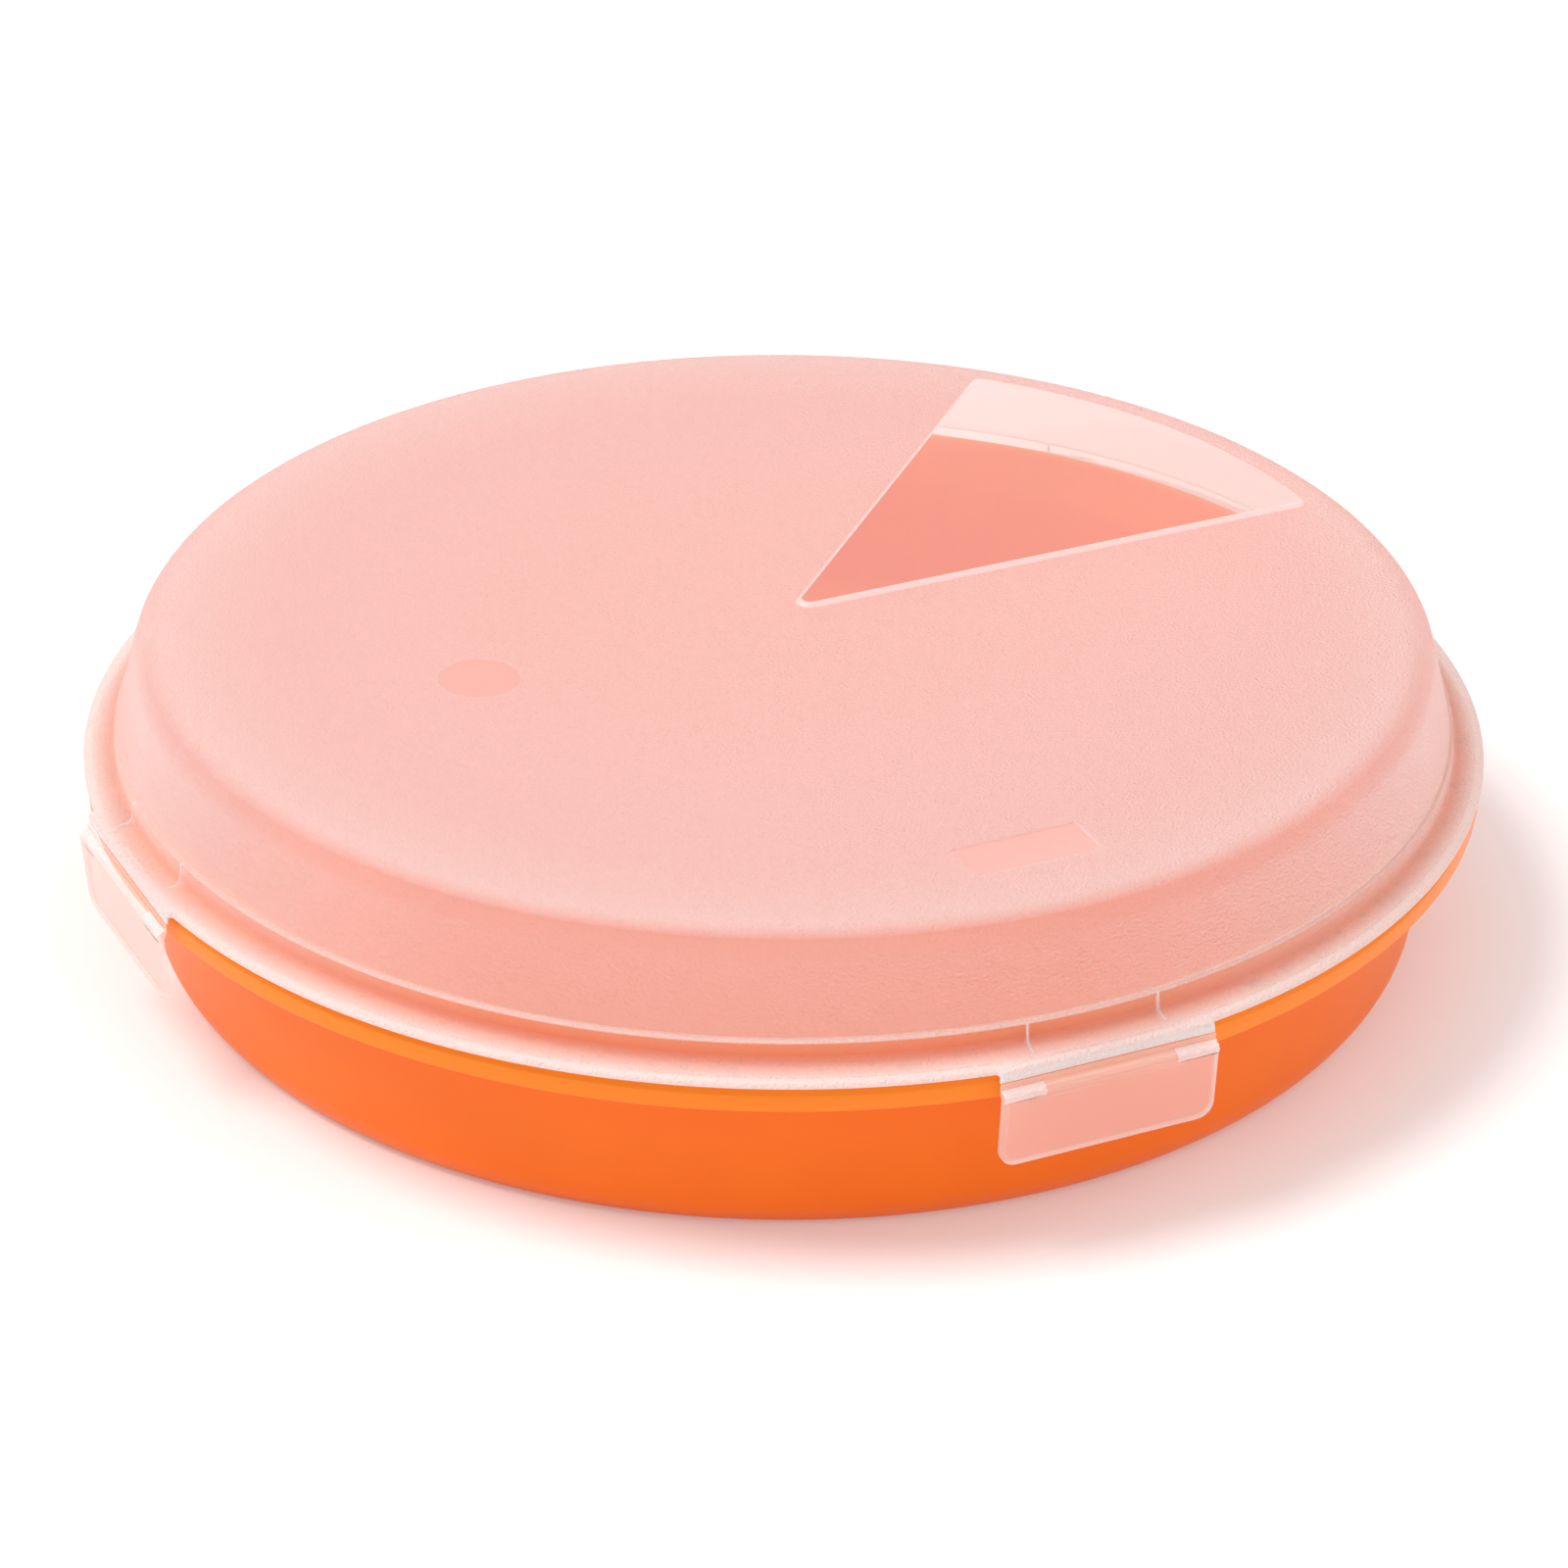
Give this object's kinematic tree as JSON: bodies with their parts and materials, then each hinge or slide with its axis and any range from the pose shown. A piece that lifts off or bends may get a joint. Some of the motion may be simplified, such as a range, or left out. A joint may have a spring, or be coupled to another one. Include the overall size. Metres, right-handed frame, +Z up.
{
  "type": "cake carrier",
  "caption": "Shallow round cake carrier: drafted tray with a skirted rim, frosted lift-off lid with a raised wedge window, and three hinged side clips that hook under the rim.",
  "frame": {"origin": "middle of the underside, on the surface that the carrier stands on", "axes": "+Z up along the axis of the round tray, front clip towards -Y, left clip towards -X, back clip towards +X+Y, window between +X and +X+Y"},
  "size_m": [0.2916, 0.2916, 0.0668],
  "materials": {
    "tray_plastic": "satin moulded polypropylene, orange",
    "frosted_plastic": "fine-grained translucent polypropylene, polished in the window"
  },
  "bodies": {
    "tray": {"base_tray": "tray_plastic"},
    "lid": {"lid": "frosted_plastic"},
    "clip_front": {"clip_front": "frosted_plastic"},
    "clip_left": {"clip_left": "frosted_plastic"},
    "clip_back": {"clip_back": "frosted_plastic"}
  },
  "joints": [
    {"name": "lid_lift", "type": "slide", "parent": "tray", "child": "lid", "axis": [0, 0, 1], "range_m": [0, 0.12]},
    {"name": "clip_front_hinge", "type": "hinge", "parent": "lid", "child": "clip_front", "pos_m": [0, -0.1448, 0.03835], "axis": [-1, 0, 0], "range_deg": [0, 135]},
    {"name": "clip_left_hinge", "type": "hinge", "parent": "lid", "child": "clip_left", "pos_m": [-0.1448, 0, 0.03835], "axis": [0, 1, 0], "range_deg": [0, 135]},
    {"name": "clip_back_hinge", "type": "hinge", "parent": "lid", "child": "clip_back", "pos_m": [0.10239, 0.10239, 0.03835], "axis": [0.7071, -0.7071, 0], "range_deg": [0, 135]}
  ]
}
